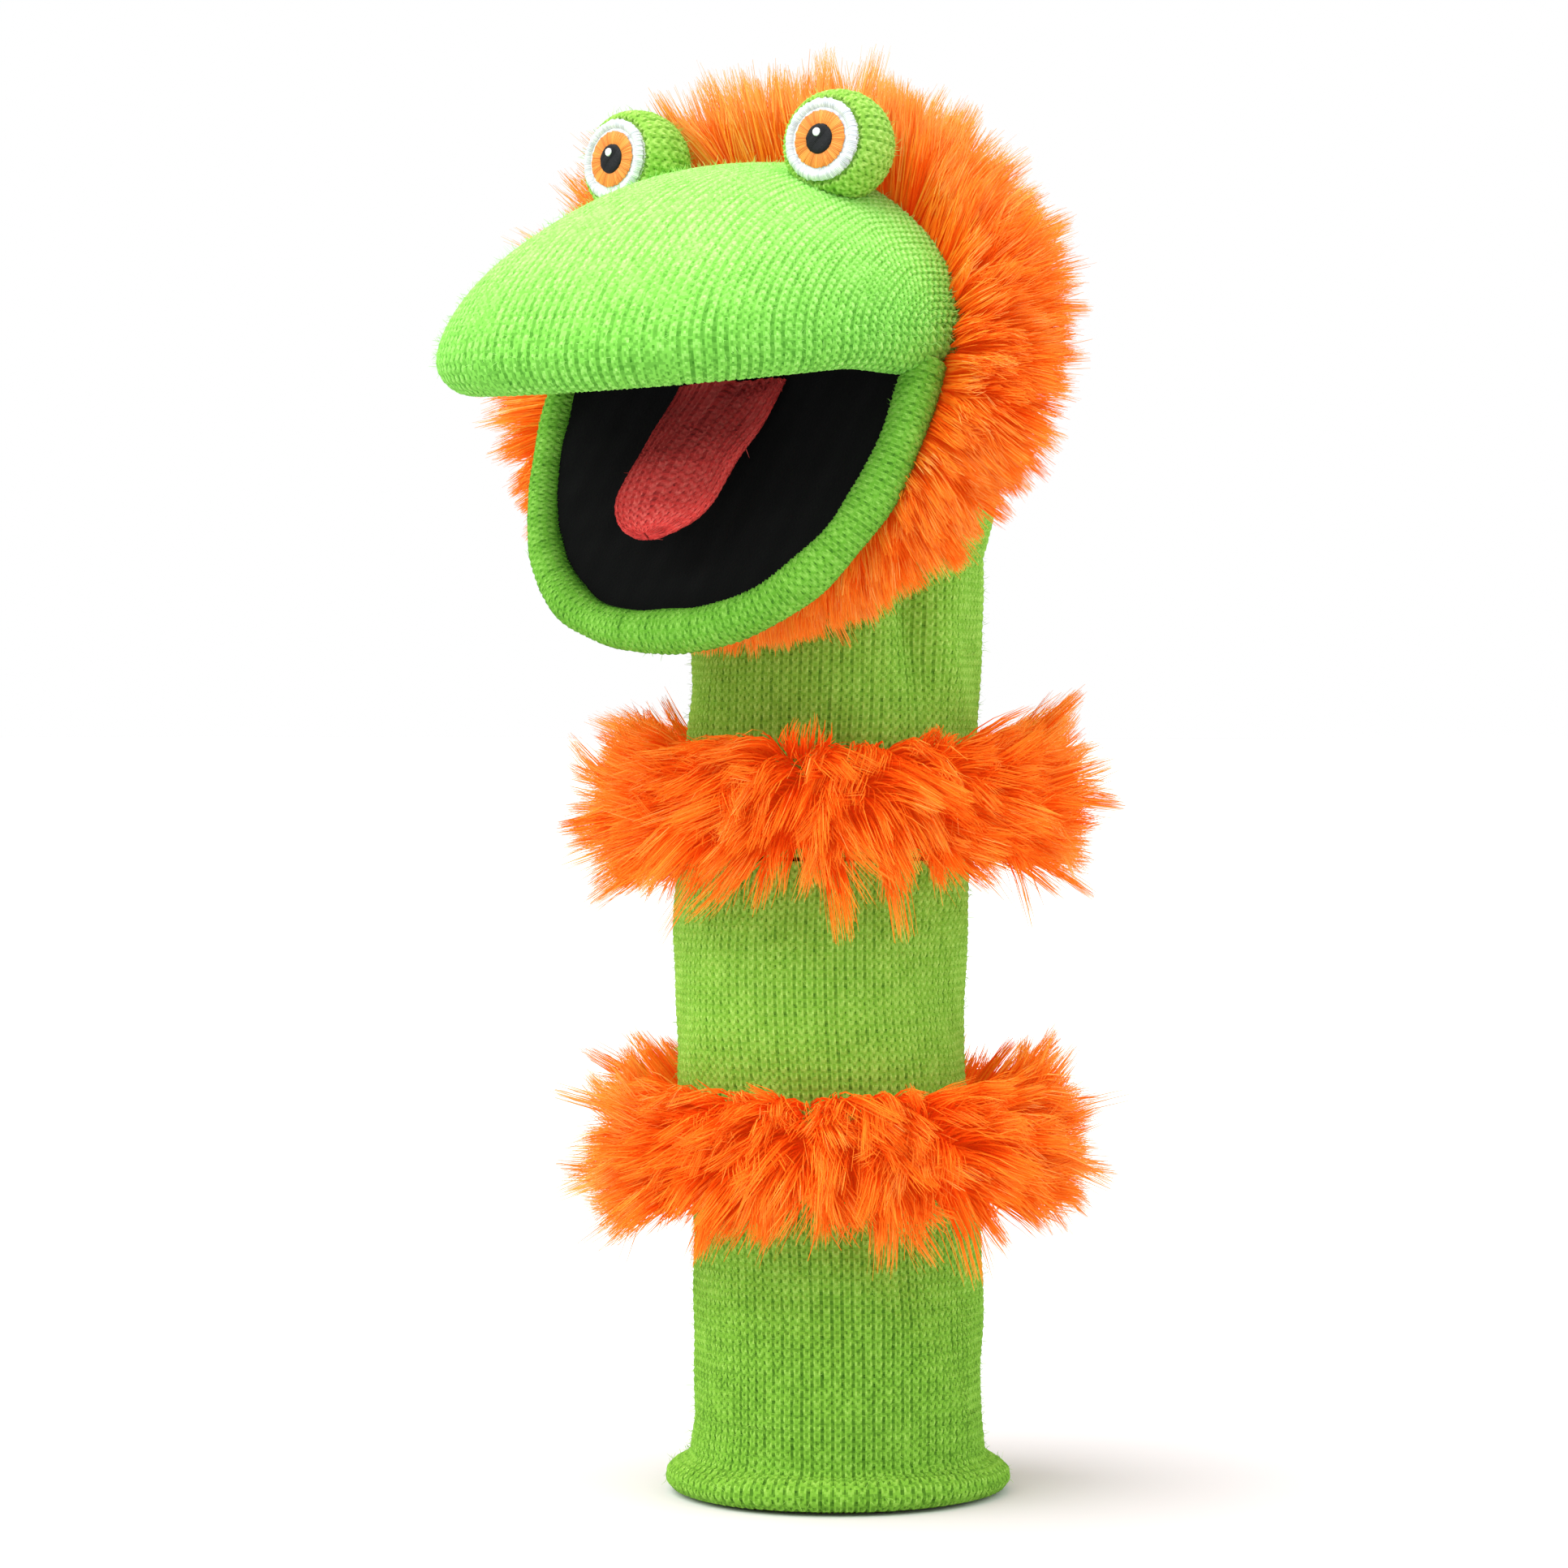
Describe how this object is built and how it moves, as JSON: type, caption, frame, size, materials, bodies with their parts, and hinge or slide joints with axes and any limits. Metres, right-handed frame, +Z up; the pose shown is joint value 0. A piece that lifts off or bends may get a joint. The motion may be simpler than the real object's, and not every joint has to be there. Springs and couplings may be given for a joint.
{
  "type": "moving mouth puppet",
  "caption": "Knitted sock-style hand puppet with a wide hinged mouth, padded beak, tongue, embroidered eyes, a shaggy mane and fur bands on its long sleeve.",
  "frame": {"origin": "middle of the whole puppet's footprint, on the plane its hem stands on", "axes": "+Z up along the sleeve, the face and beak point along -Y, the puppet's left is +X"},
  "size_m": [0.1728, 0.2021, 0.3882],
  "materials": {
    "knit_green": "green knitted yarn",
    "knit_lime": "lime knitted yarn",
    "fur_orange": "long orange pile",
    "fur_backing": "woven fur backing",
    "knit_red": "red knitted yarn",
    "felt_black": "matt felt",
    "board": "plain stiff card-like sheet",
    "stuffing": "white fibre filling",
    "elastic": "woven elastic",
    "thread_white": "satin stitch",
    "thread_orange": "satin stitch",
    "thread_black": "satin stitch"
  },
  "bodies": {
    "sleeve": {"hem_cuff": "knit_green", "sleeve_tube": "knit_green", "lower_fur_band_backing": "fur_backing", "lower_fur_band_pile": "fur_orange"},
    "neck": {"neck_tube": "knit_green", "upper_fur_band_backing": "fur_backing", "upper_fur_band_pile": "fur_orange"},
    "head": {"head_back": "knit_green", "mane_upper_backing": "fur_backing", "mane_upper_pile": "fur_orange", "mane_lower_backing": "fur_backing", "mane_lower_pile": "fur_orange", "mouth_fold": "felt_black"},
    "upper_jaw": {"beak_cover": "knit_lime", "beak_padding": "stuffing", "upper_mouth_lining": "felt_black", "upper_mouth_board": "board", "finger_strap": "elastic", "left_eye_cover": "knit_green", "left_eye_stuffing": "stuffing", "left_eye_border": "thread_white", "left_eye_white": "thread_white", "left_eye_iris": "thread_orange", "left_eye_pupil": "thread_black", "left_eye_highlight": "thread_white", "right_eye_cover": "knit_green", "right_eye_stuffing": "stuffing", "right_eye_border": "thread_white", "right_eye_white": "thread_white", "right_eye_iris": "thread_orange", "right_eye_pupil": "thread_black", "right_eye_highlight": "thread_white"},
    "lower_jaw": {"lower_lip_cover": "knit_green", "lower_lip_padding": "stuffing", "chin_panel": "knit_green", "lower_mouth_lining": "felt_black", "lower_mouth_board": "board", "thumb_strap": "elastic"},
    "tongue": {"tongue_cover": "knit_red", "tongue_stuffing": "stuffing"}
  },
  "joints": [
    {"name": "neck_turn", "type": "hinge", "parent": "sleeve", "child": "neck", "pos_m": [0, 0.03265, 0.18], "axis": [0, 0, 1], "range_deg": [-40, 40]},
    {"name": "head_nod", "type": "hinge", "parent": "neck", "child": "head", "pos_m": [0, 0.03265, 0.258], "axis": [1, 0, 0], "range_deg": [-15, 8]},
    {"name": "upper_jaw_lift", "type": "hinge", "parent": "head", "child": "upper_jaw", "pos_m": [0, -0.01335, 0.315], "axis": [1, 0, 0], "range_deg": [-10, 16]},
    {"name": "lower_jaw_drop", "type": "hinge", "parent": "head", "child": "lower_jaw", "pos_m": [0, -0.01335, 0.315], "axis": [1, 0, 0], "range_deg": [-28, 2]},
    {"name": "tongue_fold", "type": "hinge", "parent": "lower_jaw", "child": "tongue", "pos_m": [0, -0.02013, 0.30051], "axis": [1, 0, 0], "range_deg": [-1, 12.5]}
  ],
  "couplings": [
    {"joint": "tongue_fold", "follows": "lower_jaw_drop", "ratio": -0.43}
  ]
}
